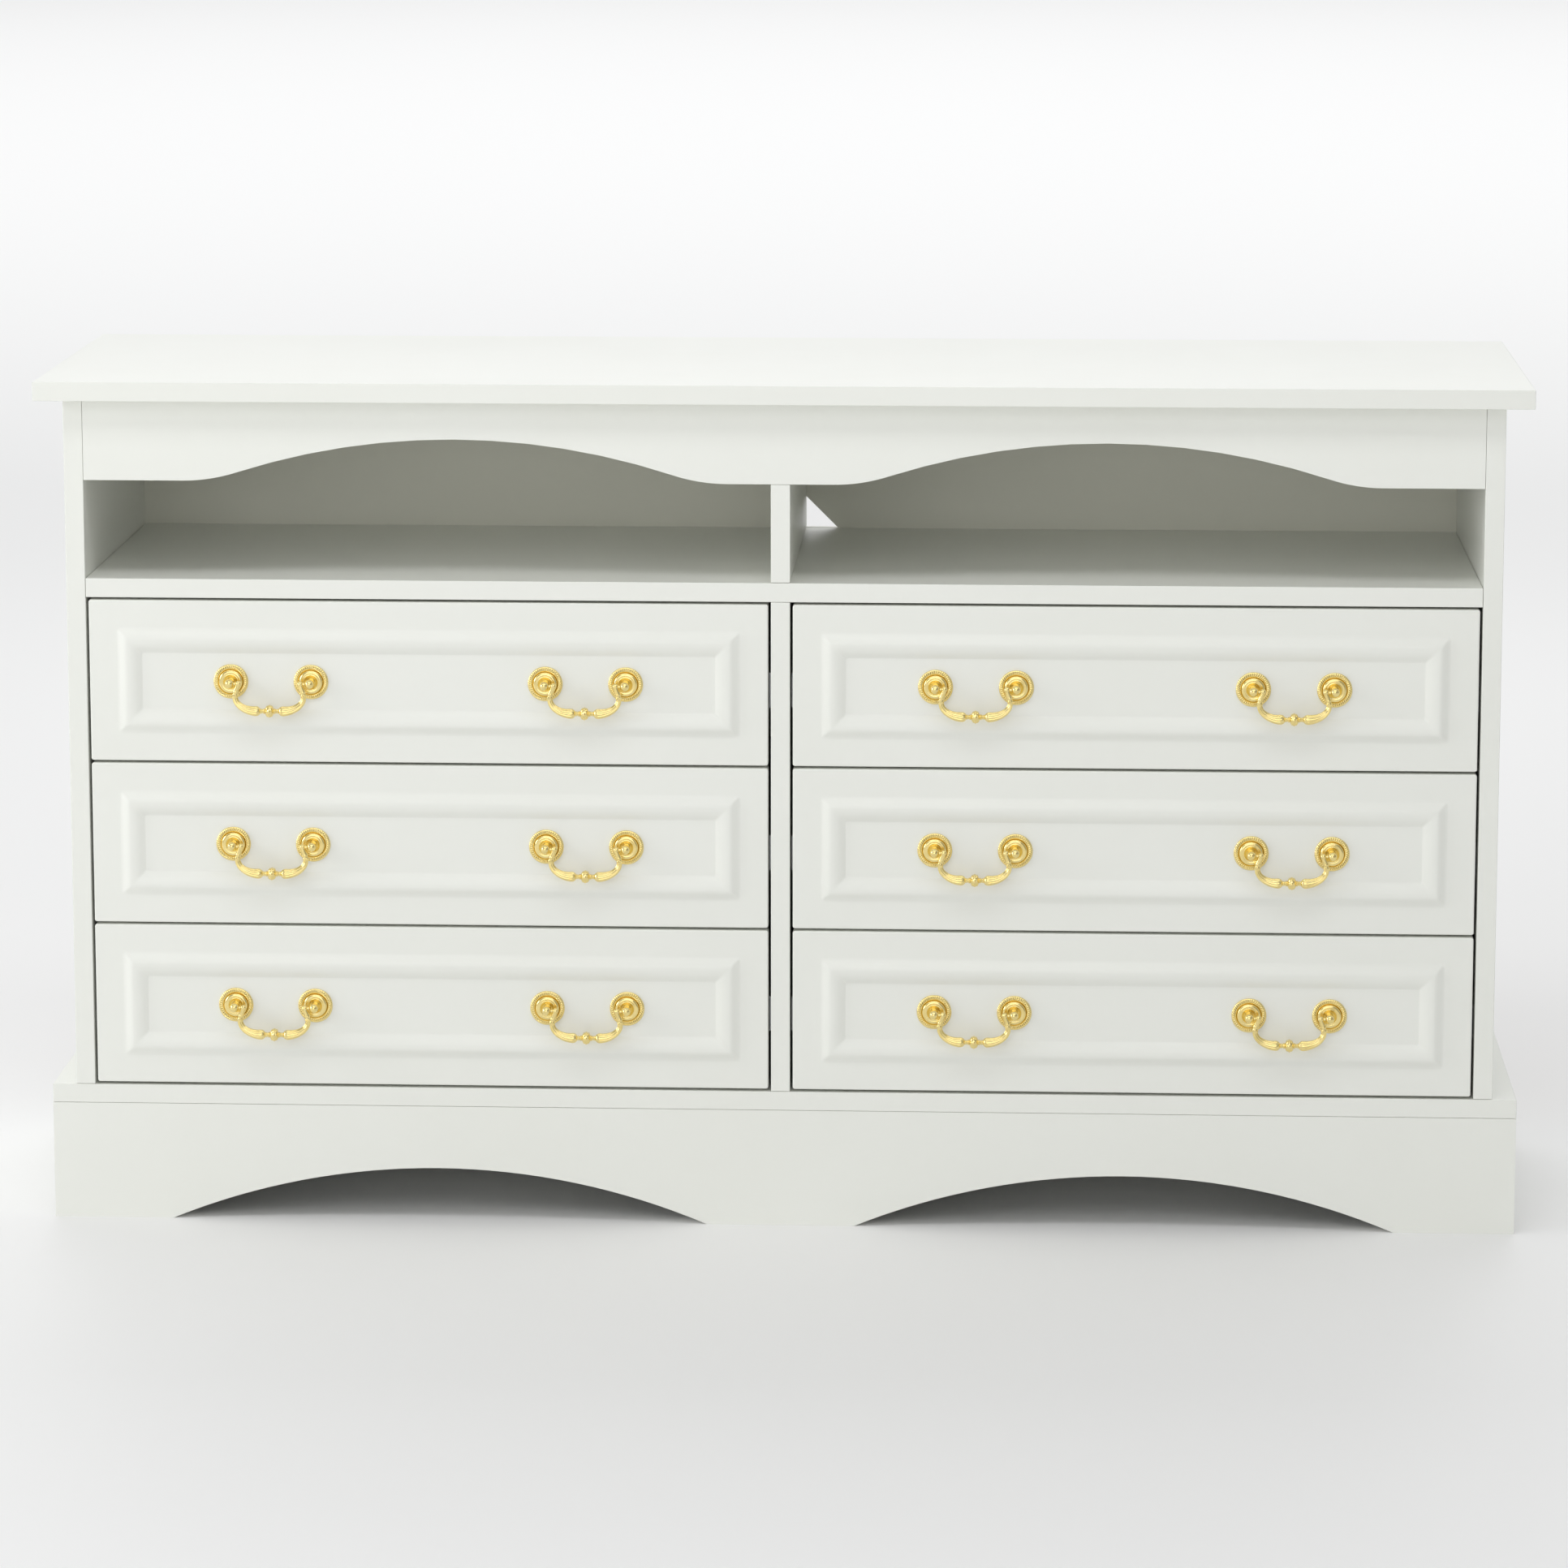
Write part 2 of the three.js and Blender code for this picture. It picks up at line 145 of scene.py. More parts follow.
class Graph:
    """A new material's nodes, written as calls and as arithmetic on what they return."""

    MIX_FIRST = 6
    MIX_SECOND = 7
    MIX_COLOUR = 2

    def __init__(self, name):
        self.material = bpy.data.materials.new(name)
        self.material.use_nodes = True
        self.tree = self.material.node_tree
        self.tree.nodes.clear()
        self.place = self.node("ShaderNodeTexCoord", output="Object")

    def node(self, kind, settings=None, inputs=None, output=0):
        """Adds a node, sets its settings, then its sockets, and returns one of its outputs."""
        made = self.tree.nodes.new(kind)
        for name, value in (settings or {}).items():
            setattr(made, name, value)
        for name, value in (inputs or {}).items():
            if isinstance(value, Value):
                self.tree.links.new(value.socket, made.inputs[name])
            else:
                made.inputs[name].default_value = value
        return None if output is None else Value(self, made.outputs[output])

    def math(self, operation, *values):
        """One Math node on values or numbers."""
        return self.node("ShaderNodeMath", {"operation": operation}, dict(enumerate(values)))

    def noise(self, scale, detail=2.0, stretch=(1, 1, 1)):
        """Soft noise from 0 to 1, with about scale bumps to the metre."""
        where = self.node("ShaderNodeMapping", None, {"Vector": self.place, "Scale": stretch})
        sockets = {"Vector": where, "Scale": scale, "Detail": detail}
        return self.node("ShaderNodeTexNoise", None, sockets, "Fac")

    def axis(self, name):
        """One of the piece's own coordinates."""
        return self.node("ShaderNodeSeparateXYZ", None, {0: self.place}, name)

    def mix(self, share, first, second):
        """The first colour at share 0 and the second at 1."""
        sockets = {0: share, self.MIX_FIRST: rgba(first), self.MIX_SECOND: rgba(second)}
        return self.node("ShaderNodeMix", {"data_type": "RGBA"}, sockets, self.MIX_COLOUR)

    def bump(self, height, distance, strength):
        """A relief of a given depth, for a Normal socket."""
        sockets = {"Height": height, "Distance": distance, "Strength": strength}
        return self.node("ShaderNodeBump", None, sockets)

    def surface(self, sockets):
        """Finishes the material with one Principled shader, and returns the material."""
        shader = self.node("ShaderNodeBsdfPrincipled", None, sockets)
        self.node("ShaderNodeOutputMaterial", None, {"Surface": shader}, None)
        return self.material


def rgba(colour):
    """A plain colour with its alpha. A colour from a node is left as it is."""
    return colour if isinstance(colour, Value) else (*colour, 1.0)


# ---- Finishes ----


def white_paint(name):
    """Satin white paint, rolled on smooth board: a faint mottle and a fine peel."""
    graph = Graph(name)
    mottle = graph.noise(5.0, 3.0)
    peel = graph.noise(420.0, 2.0) + 0.5 * graph.noise(130.0)
    return graph.surface({
        "Base Color": graph.mix(mottle, (0.85, 0.86, 0.80), (0.88, 0.89, 0.84)),
        "Roughness": 0.29 + 0.10 * graph.noise(35.0, 3.0),
        "Normal": graph.bump(peel, 0.06 * MM, 0.35),
        "Specular IOR Level": 0.45,
    })


def fibre_colour(graph):
    """Pressed wood fibre: warm brown with paler flecks in soft darker clouds."""
    flecks = graph.noise(650.0, 4.0, (1, 1, 0.45))
    clouds = graph.noise(14.0, 5.0)
    share = graph.math("MULTIPLY_ADD", flecks, 2.4, -0.95) + 0.7 * (clouds - 0.5)
    return graph.mix(graph.math("MINIMUM", share, 1.0), (0.15, 0.075, 0.036), (0.40, 0.245, 0.135))


def screen_mark(graph, across, along):
    """The small diamonds that the press's wire screen leaves in the rear of hardboard."""
    first = graph.math("SINE", (across + along) * (FULL_TURN / SCREEN_PITCH))
    second = graph.math("SINE", (across - along) * (FULL_TURN / SCREEN_PITCH))
    return first * second + 0.6 * graph.noise(420.0, 4.0)


def back_board_finish():
    """Thin hardboard: white foil on its front face, painted darker and more olive than the case's paint
    as painted shade for the depths of the cubbies, and bare brown fibre on its rear.
    """
    graph = Graph("back_board_white_with_painted_shade_and_fibre")
    rear_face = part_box("upper_back_left")[1].y
    rear = graph.axis("Y") > rear_face - 0.3 * MM
    mottle = graph.noise(6.0, 3.0)
    # Painted shade: this white is darker and more olive than the case's paint. It stands in for the warm
    # shade deep in the cubbies.
    white = graph.mix(mottle, (0.79, 0.785, 0.69), (0.83, 0.825, 0.73))
    relief = rear * screen_mark(graph, graph.axis("X"), graph.axis("Z"))
    return graph.surface({
        "Base Color": graph.mix(rear, white, fibre_colour(graph)),
        "Roughness": 0.40 + 0.32 * rear + 0.08 * mottle,
        "Normal": graph.bump(relief, SCREEN_DEPTH, 0.6),
        "Specular IOR Level": 0.4,
    })


def drawer_foil():
    """Matt white foil with a fine linen emboss, as on folded drawer boxes."""
    graph = Graph("drawer_foil")
    warp = graph.math("SINE", graph.axis("Y") * (FULL_TURN / LINEN_PITCH))
    weft = graph.math("SINE", graph.axis("Z") * (FULL_TURN / LINEN_PITCH))
    linen = warp * weft
    mottle = graph.noise(9.0, 3.0)
    return graph.surface({
        "Base Color": graph.mix(mottle, (0.74, 0.74, 0.70), (0.79, 0.79, 0.76)),
        "Roughness": 0.50 + 0.12 * mottle,
        "Normal": graph.bump(linen, 0.03 * MM, 0.3),
    })


def base_finish():
    """Drawer bases: white foil above and bare brown fibre below."""
    graph = Graph("drawer_base_finish")
    facing = graph.node("ShaderNodeNewGeometry", output="Normal")
    top = graph.node("ShaderNodeSeparateXYZ", None, {0: facing}, "Z") > 0.5
    mottle = graph.noise(8.0, 3.0)
    white = graph.mix(mottle, (0.75, 0.75, 0.715), (0.80, 0.80, 0.77))
    relief = (1 - top) * screen_mark(graph, graph.axis("X"), graph.axis("Y"))
    return graph.surface({
        "Base Color": graph.mix(top, fibre_colour(graph), white),
        "Roughness": 0.68 - 0.25 * top + 0.08 * mottle,
        "Normal": graph.bump(relief, SCREEN_DEPTH, 0.6),
    })


def brass_finish():
    """Polished, lacquered brass: deep gold, with fine buffing marks and duller patches."""
    graph = Graph("polished_brass")
    cloud = graph.noise(180.0, 4.0)
    marks = graph.noise(2600.0, 2.0, (1, 0.25, 1))
    return graph.surface({
        "Base Color": graph.mix(cloud, (0.89, 0.70, 0.25), (0.96, 0.80, 0.38)),
        "Metallic": 1.0,
        "Roughness": 0.13 + 0.14 * cloud,
        "Normal": graph.bump(marks + cloud, 0.05 * MM, 0.25),
        "Coat Weight": 0.25,
        "Coat Roughness": 0.06,
    })


def zinc_finish():
    """Bright zinc plate on rolled steel, streaked along the runner."""
    graph = Graph("zinc_plate")
    streak = graph.noise(900.0, 3.0, (1, 0.04, 1))
    spangle = graph.noise(140.0, 3.0)
    return graph.surface({
        "Base Color": graph.mix(spangle, (0.52, 0.54, 0.56), (0.70, 0.71, 0.72)),
        "Metallic": 1.0,
        "Roughness": 0.28 + 0.18 * streak,
        "Normal": graph.bump(streak, 0.04 * MM, 0.3),
    })


# ---- Making pieces ----


def mesh_of(bm, name, material, smooth_under=32):
    """Ends a bmesh as a mesh with one material, smooth but for edges sharper than the angle."""
    mesh = bpy.data.meshes.new(name)
    bm.to_mesh(mesh)
    bm.free()
    mesh.materials.append(material)
    mesh.shade_smooth()
    mesh.set_sharp_from_angle(angle=math.radians(smooth_under))
    return mesh


def place(pattern, name, body, at=(0, 0, 0), turn=None, replaces=()):
    """Adds a copy of a pattern mesh, turned and then moved, as a piece that rides on a body."""
    mesh = pattern.copy()
    mesh.name = name
    mesh.transform(Matrix.Translation(at) @ (turn or Matrix.Identity(4)))
    piece = bpy.data.objects.new(name, mesh)
    bpy.context.scene.collection.objects.link(piece)
    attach(piece, body)
    if replaces:
        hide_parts(*replaces)
    return piece


def slab(low, high):
    """A box as a bmesh, between two corners."""
    bm = bmesh.new()
    bmesh.ops.create_cube(bm, size=1.0)
    size = Vector(high) - Vector(low)
    bmesh.ops.scale(bm, vec=size, verts=bm.verts)
    bmesh.ops.translate(bm, vec=(Vector(low) + Vector(high)) / 2, verts=bm.verts)
    return bm


def ease(bm, edges, offset, segments):
    """Rounds edges."""
    bmesh.ops.bevel(
        bm, geom=list(edges), offset=offset, offset_type="OFFSET", segments=segments,
        profile=0.5, affect="EDGES", clamp_overlap=True, material=-1,
    )


def turned(profile, steps):
    """A solid of revolution round Y. Each point of the profile is a radius and a distance out
    towards -Y, and the first and last points lie on the axis."""
    bm = bmesh.new()
    points = [bm.verts.new((radius, -out, 0)) for radius, out in profile]
    line = [bm.edges.new(pair) for pair in zip(points, points[1:])]
    bmesh.ops.spin(
        bm, geom=points + line, cent=(0, 0, 0), axis=(0, 1, 0), angle=FULL_TURN,
        steps=steps, use_merge=True, use_duplicate=False,
    )
    bmesh.ops.remove_doubles(bm, verts=bm.verts, dist=0.002 * MM)
    bmesh.ops.recalc_face_normals(bm, faces=bm.faces)
    return bm


def arc(centre, radius, start, end, steps):
    """Points of a round stretch of a profile, from one angle to another, in degrees."""
    angles = [math.radians(start + (end - start) * i / steps) for i in range(steps + 1)]
    return [(centre[0] + radius * math.cos(a), centre[1] + radius * math.sin(a)) for a in angles]


def millimetres(points):
    """Points of a profile, from millimetres to metres."""
    return [(a * MM, b * MM) for a, b in points]


# ---- Case boards ----


def finish_board(name, finish):
    """Gives a board of the CAD model its finish."""
    board = frame["nodes"][name]
    board.data.materials.clear()
    board.data.materials.append(finish)
    return board


def dress_boards(paint, back):
    """The case's own boards stay, with eased edges and their finish."""
    for name in frame["record"]["behaviour"]["bodies"]["case"]:
        if name.startswith("runner"):
            continue
        board = finish_board(name, back if "back_" in name else paint)
        weld = board.modifiers.new("weld", "WELD")
        weld.merge_threshold = 0.01 * MM
        bevel = board.modifiers.new("eased_edges", "BEVEL")
        bevel.width = BOARD_EASE
        bevel.segments = 2
        bevel.limit_method = "ANGLE"
        bevel.angle_limit = math.radians(40)
        bevel.harden_normals = True


# ---- Drawer fronts ----


def frame_section():
    """The pressed frame's section from its outer edge inwards: a soft rise to a broad crown,
    then a slope that steepens up to a crisp inner line."""
    rise = [(share, 0.5 - 0.5 * math.cos(math.pi * share)) for share in shares(9)]
    fall = [(share, 1 - share ** 2.2) for share in shares(10)]
    slope = FRAME_WIDTH - FRAME_CROWN
    outer = [(FRAME_CROWN * across, FRAME_HEIGHT * out) for across, out in rise]
    inner = [(FRAME_CROWN + slope * across, FRAME_HEIGHT * out) for across, out in fall]
    return outer + inner + [(FRAME_WIDTH + 0.5 * MM, 0)]


def shares(steps):
    """Even steps from just above 0 up to 1."""
    return [i / steps for i in range(1, steps + 1)]


def drawer_front_pattern(width, height, paint):
    """A drawer front about the middle of its face, pressed with a raised frame."""
    bm = slab((-width / 2, 0, -height / 2), (width / 2, FRONT_BOARD, height / 2))
    face = min(bm.faces, key=lambda f: f.calc_center_median().y)
    before = (-FRAME_MARGIN, 0.0)
    # Flat steps beside the outline's bevel and the frame keep the margin between them flat.
    flat = [(FRONT_EASE + 0.6 * MM - FRAME_MARGIN, 0), (-0.4 * MM, 0), (0, 0)]
    for across, out in flat + frame_section():
        step, rise = across - before[0], out - before[1]
        bmesh.ops.inset_region(bm, faces=[face], thickness=step, depth=rise, use_even_offset=True)
        before = (across, out)
    ease(bm, [e for e in bm.edges if is_mitre(e, width)], MITRE_EASE, 3)
    ease(bm, [e for e in bm.edges if is_corner(e, width)], FRONT_CORNER, 4)
    ease(bm, [e for e in bm.edges if is_outline(e)], FRONT_EASE, 4)
    return mesh_of(bm, "drawer_front", paint)


def is_mitre(edge, width):
    """True for the slanted edges of the pressed frame's corners."""
    a, b = [v.co for v in edge.verts]
    inside = max(abs(a.x), abs(b.x)) < width / 2 - FRAME_MARGIN + 0.1 * MM
    return inside and abs(a.x - b.x) > 0.02 * MM and abs(a.z - b.z) > 0.02 * MM


def is_corner(edge, width):
    """True for the board's four corner edges, which run from its face to its back."""
    a, b = [v.co for v in edge.verts]
    return abs(a.x) > width / 2 - 0.1 * MM and abs(a.y - b.y) > FRONT_BOARD / 2


def is_outline(edge):
    """True where the board's face meets its edges."""
    tilts = sorted(abs(face.normal.y) for face in edge.link_faces)
    return tilts[0] < 0.01 and tilts[-1] > 0.99 and edge.verts[0].co.y < 0.1 * MM


# ---- Pulls ----


def rosette_pattern(brass):
    """A cast rosette: a fluted border, a domed ring and a dished middle."""
    border_middle, border_half, border_inside = 14.0, 2.5, 11.5
    turns = [math.pi * i / 10 for i in range(11)]
    border = [(border_middle + border_half * math.cos(a), 0.7 + 2.1 * math.sin(a)) for a in turns]
    profile = [(0, 0), (16.3, 0)] + border + [(11.3, 1.2)]
    profile += arc((9.2, 1.8), 2.2, 0, 90, 6)
    profile += [(8.2, 4.05), (7.5, 3.75), (7.2, 3.95), (6.7, 3.85)]
    profile += [(6.0, 3.3), (5.4, 2.6), (4.8, 2.2), (0, 2.2)]
    bm = turned(millimetres(profile), ROSETTE_FLUTES * 4)
    for vert in bm.verts:
        radius = math.hypot(vert.co.x, vert.co.z) / MM
        if border_inside < radius and vert.co.y < -0.3 * MM:
            angle = math.atan2(vert.co.z, vert.co.x) + 0.03 * (radius - border_middle)
            groove = 1 - abs(math.sin(ROSETTE_FLUTES / 2 * angle))
            share = min((radius - border_inside) / (2 * border_half), 1)
            vert.co.y += 1.1 * MM * groove * (0.9 * math.sin(math.pi * share) + 0.1)
    return mesh_of(bm, "rosette", brass, 60)


def post_pattern(brass):
    """A turned post: collar, waist and ball."""
    pivot = PIVOT_OUT / MM
    ball = BALL / MM
    waist = 2.3
    meet = math.degrees(math.asin(waist / ball))
    collar = [(0, 1.6), (3.3, 1.6), (3.3, 3.0), (2.9, 3.5), (2.5, 4.0)]
    profile = collar + [(waist, 4.8), (waist, 7.6)]
    profile += arc((0, pivot), ball, -90 + meet, 90, 18)
    return mesh_of(turned(millimetres(profile), 40), "post", brass)


class Line:
    """A line through close points, measured along its length from 0 to length."""

    def __init__(self, points):
        self.points = points
        self.marks = [0.0]
        for a, b in zip(points, points[1:]):
            self.marks.append(self.marks[-1] + (b - a).length)
        self.length = self.marks[-1]

    def at(self, distance):
        """The point at a distance along the line."""
        distance = min(max(distance, 0.0), self.length)
        i = next(i for i, mark in enumerate(self.marks[1:]) if mark >= distance - 1e-12)
        share = (distance - self.marks[i]) / (self.marks[i + 1] - self.marks[i])
        return self.points[i].lerp(self.points[i + 1], share)

    def ahead(self, distance):
        """The direction of the line there."""
        reach = 0.4 * MM
        return (self.at(distance + reach) - self.at(distance - reach)).normalized()


def bail_line():
    """From the bail's middle along the grip and up to its eye, on the right-hand side."""
    def curve(points, steps):
        return interpolate_bezier(*[Vector((x * MM, 0, z * MM)) for x, z in points], steps)

    drop = -BAIL_DROP / MM
    eye = (POST_SPACING / 2 - EYE_FROM_POST) / MM
    side, level = eye + 3.1, -12.5
    bend = curve([(13, drop), (22.5, drop), (side, level - 8), (side, level)], 40)
    rise = curve([(side, level), (side, level + 5), (eye + 1.2, -4), (eye, 0)], 20)
    return Line([Vector((0, 0, drop * MM))] + bend + rise[1:])


def bail_radius(along):
    """The bail's thickness along its length, from its middle to its eye, in millimetres."""
    stops = [
        (0.0, 6.0), (1.0, 5.95), (2.0, 5.5), (3.0, 4.6), (3.7, 3.5), (4.1, 2.6), (4.4, 2.2), (4.8, 2.7),
        (5.2, 2.85), (5.6, 2.6), (6.0, 1.9), (6.6, 1.8), (7.0, 2.3), (7.4, 2.5), (7.8, 2.3), (8.2, 2.0),
        (8.7, 2.5), (9.5, 3.4), (10.5, 4.05), (11.8, 4.5), (13.2, 4.6), (15.0, 4.45), (20.0, 3.95),
        (26.0, 3.35), (33.0, 2.8), (38.0, 2.5), (39.4, 2.4), (39.9, 2.9), (40.6, 3.2), (41.3, 2.9),
        (41.8, 2.3), (42.6, 2.2), (43.1, 2.6), (43.8, 2.8), (44.5, 2.6), (60.0, 2.4),
    ]
    for (a, ra), (b, rb) in zip(stops, stops[1:]):
        if along <= b:
            return ra + (rb - ra) * (along - a) / (b - a)
    return stops[-1][1]


def bail_pattern(brass):
    """A swinging bail: a leafy knob between two fluted horns, with an eye and a pin at each end."""
    line = bail_line()
    half, knob, tip = line.length / MM, BAIL_KNOB / MM, BAIL_TIP / MM
    middle = [i * 0.35 for i in range(30)]
    grip = [knob + i * (half - knob - tip) / 26 for i in range(26)]
    neck = [half - tip + i * 0.4 for i in range(23)]
    marks = [m for m in middle + grip + neck if m < half] + [half]
    marks = [-m for m in reversed(marks[1:])] + marks
    profile = [(0, marks[0])] + [(bail_radius(abs(m)), m) for m in marks] + [(0, marks[-1])]
    bm = turned(millimetres(profile), BAIL_FLUTES * 6)
    for vert in bm.verts:
        bend_bail(vert, line)
    eye = POST_SPACING / 2 - EYE_FROM_POST
    reach = EYE_FROM_POST - BALL + PIN_DEPTH
    sideways = Matrix.Rotation(math.pi / 2, 4, "Y")
    for end in (-1, 1):
        ball = bmesh.ops.create_uvsphere(bm, u_segments=24, v_segments=16, radius=EYE_BALL)
        bmesh.ops.translate(bm, vec=(end * eye, 0, 0), verts=ball["verts"])
        middle_of_pin = Matrix.Translation((end * (eye + reach / 2), 0, 0))
        bmesh.ops.create_cone(
            bm, cap_ends=True, segments=20, radius1=PIN, radius2=PIN, depth=reach,
            matrix=middle_of_pin @ sideways,
        )
    bmesh.ops.recalc_face_normals(bm, faces=bm.faces)
    return mesh_of(bm, "bail", brass, 50)


def bend_bail(vert, line):
    """Cuts the flutes and leaves into a point of the straight bar, then bends it to the line."""
    along = -vert.co.y
    span = abs(along) / MM
    angle = math.atan2(vert.co.z, vert.co.x)
    flutes_start, flutes_end, knob_end = 9.0, line.length / MM - 9.5, 4.4
    grow = 1.0
    if flutes_start < span < flutes_end:
        fade = min(1, (span - flutes_start) / 2.5, (flutes_end - span) / 3)
        grow += 0.13 * fade * (abs(math.sin(BAIL_FLUTES / 2 * angle)) - 0.65)
    elif span < knob_end:
        leaf = abs(math.sin(3 * angle)) * abs(math.cos(math.pi * span / 2.6))
        grow += 0.14 * (leaf - 0.5) * min(1, (knob_end - span) / 1.2)
    side = -1 if along < 0 else 1
    point = line.at(abs(along))
    ahead = line.ahead(abs(along)) if abs(along) > 0.5 * MM else Vector((1, 0, 0))
    out = Vector((-ahead.z, 0, ahead.x))
    bent = point + out * vert.co.x * grow
    vert.co = Vector((side * bent.x, vert.co.z * grow, bent.z))


# ---- Drawer boxes ----


def board_pattern(low, high, material, name, mitres):
    """A plain board with eased edges. A mitre is a point and the direction to cut away."""
    bm = slab(low, high)
    for point, direction in mitres:
        bmesh.ops.bisect_plane(
            bm, geom=bm.verts[:] + bm.edges[:] + bm.faces[:], dist=0.001 * MM, plane_co=point,
            plane_no=direction, clear_outer=True,
        )
        bmesh.ops.holes_fill(bm, edges=[e for e in bm.edges if e.is_boundary])
    bmesh.ops.recalc_face_normals(bm, faces=bm.faces)
    ease(bm, bm.edges, BOX_EASE, 2)
    return mesh_of(bm, name, material, 20)


def make_drawer_box(name, foil, base_board, cam):
    """The folded sides and back, mitred where they meet, the base in their grooves, and the
    cams that draw the front up tight."""
    body = f"drawer_{name}"
    low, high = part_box(f"drawer_{name}_shell")
    low.x += RUNNER_BAR_OUT
    high.x -= RUNNER_BAR_OUT
    corners = {-1: Vector((low.x, high.y, 0)), 1: Vector((high.x, high.y, 0))}
    for end, word in ((-1, "left"), (1, "right")):
        outer = low.x if end < 0 else high.x
        inner = outer - end * SHELL_BOARD
        cut = [(corners[end], Vector((-end, 1, 0)))]
        side = board_pattern(
            (min(outer, inner), low.y, low.z), (max(outer, inner), high.y, high.z), foil, "side", cut,
        )
        place(side, f"drawer_{name}_{word}_side", body)
        for level, height in CAM_HEIGHTS:
            spot = (inner, low.y + CAM_SETBACK, low.z + height * (high.z - low.z))
            label = f"drawer_{name}_{word}_cam_{level}"
            place(cam, label, body, spot, Matrix.Rotation(-end * math.pi / 2, 4, "Z"))
    cuts = [(corners[end], Vector((end, -1, 0))) for end in (-1, 1)]
    back = board_pattern((low.x, high.y - SHELL_BOARD, low.z), high, foil, "back", cuts)
    rear = place(back, f"drawer_{name}_back", body)
    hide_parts(f"drawer_{name}_shell")
    finish_board(f"drawer_{name}_base", base_board)


# ---- Runners ----


def channel_pattern(depth, height, lip, length, material, name):
    """A rolled steel channel along +Y from its front, with its web at x = 0 and its mouth at
    x = depth. Its corners are round."""
    bm = bmesh.new()
    half = height / 2
    inset = STEEL / 2
    turns = [
        (depth - inset, half - inset - lip), (depth - inset, half - inset), (inset, half - inset),
        (inset, inset - half), (depth - inset, inset - half), (depth - inset, inset - half + lip),
    ]
    points = [bm.verts.new((x, 0, z)) for x, z in turns]
    edges = [bm.edges.new(pair) for pair in zip(points, points[1:])]
    swept = bmesh.ops.extrude_edge_only(bm, edges=edges)["geom"]
    moved = [v for v in swept if isinstance(v, bmesh.types.BMVert)]
    bmesh.ops.translate(bm, vec=(0, length, 0), verts=moved)
    folds = [e for e in bm.edges if not e.is_boundary]
    ease(bm, folds, STEEL_FOLD, 4)
    bmesh.ops.recalc_face_normals(bm, faces=bm.faces)
    bmesh.ops.solidify(bm, geom=bm.faces[:], thickness=STEEL)
    bmesh.ops.recalc_face_normals(bm, faces=bm.faces)
    return mesh_of(bm, name, material)


def screw_pattern(radius, height, material):
    """A screw's head or a cam's face about its seat, with a cross recess, facing -Y."""
    edge = 0.45 * height
    bulge = 0.5 * height
    profile = [(0, 0), (radius, 0), (radius, edge)]
    profile += arc((radius - bulge, edge), bulge, 0, 90, 5)[1:]
    profile += [(0.52 * radius, height), (0.44 * radius, 0.9 * height)]
    profile += [(0.36 * radius, 0.25 * height), (0, 0.15 * height)]
    bm = turned(profile, 48)
    for vert in bm.verts:
        reach = math.hypot(vert.co.x, vert.co.z)
        if 0 < reach < radius * 0.5 and vert.co.y > -height * 0.95:
            angle = math.atan2(vert.co.z, vert.co.x)
            lobe = 0.34 + 0.72 * abs(math.cos(2 * angle)) ** 6
            vert.co.x *= lobe
            vert.co.z *= lobe
    bmesh.ops.recalc_face_normals(bm, faces=bm.faces)
    return mesh_of(bm, "screw", material, 40)


def make_runners(name, zinc, screw):
    """Each runner is a rolled channel on the case, screwed through its web, and a narrower one
    on the drawer that slides in it. The two runners mirror each other."""
    channel = channel_pattern(
        CHANNEL_DEPTH, CHANNEL_HEIGHT, CHANNEL_LIP, RUNNER_LENGTH, zinc, "case_runner",
    )
    bar = channel_pattern(
        RUNNER_BAR_OUT - BAR_CLEARANCE, RUNNER_BAR_HEIGHT, BAR_LIP, RUNNER_LENGTH, zinc, "drawer_runner",
    )
    drawer = f"drawer_{name}"
    shell_low, shell_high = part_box(f"drawer_{name}_shell")
    for word in ("case_side", "divider_side"):
        node = f"runner_{name}_{word}"
        low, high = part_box(node)
        middle = (low.z + high.z) / 2
        left = (low.x + high.x) / 2 < (shell_low.x + shell_high.x) / 2
        inwards = 1 if left else -1
        web = low.x if left else high.x
        box_side = (shell_low.x if left else shell_high.x) + inwards * RUNNER_BAR_OUT
        place_channel(channel, f"{node}_channel", "case", (web, low.y, middle), inwards, [node])
        place_channel(bar, f"{node}_drawer_member", drawer, (box_side, low.y, middle), -inwards, [])
        for along in CHANNEL_SCREWS:
            spot = (web + inwards * STEEL, low.y + along, middle)
            place_runner_screw(screw, f"{node}_screw_{round(along / MM)}", "case", spot, inwards)
        for along in BAR_SCREWS:
            spot = (box_side - inwards * STEEL, low.y + along, middle)
            place_runner_screw(screw, f"{node}_drawer_screw_{round(along / MM)}", drawer, spot, -inwards)


def place_channel(pattern, name, body, at, towards, replaces):
    """Places a channel with its mouth towards +X or, for -1, mirrored towards -X."""
    mirror = Matrix.Scale(towards, 4, (1, 0, 0))
    piece = place(pattern, name, body, at, mirror, replaces)
    if towards < 0:
        piece.data.flip_normals()


def place_runner_screw(screw, name, body, at, towards):
    """Places a screw whose head faces +X or, for -1, -X."""
    place(screw, name, body, at, Matrix.Rotation(towards * math.pi / 2, 4, "Z"))


# ---- The whole dresser ----


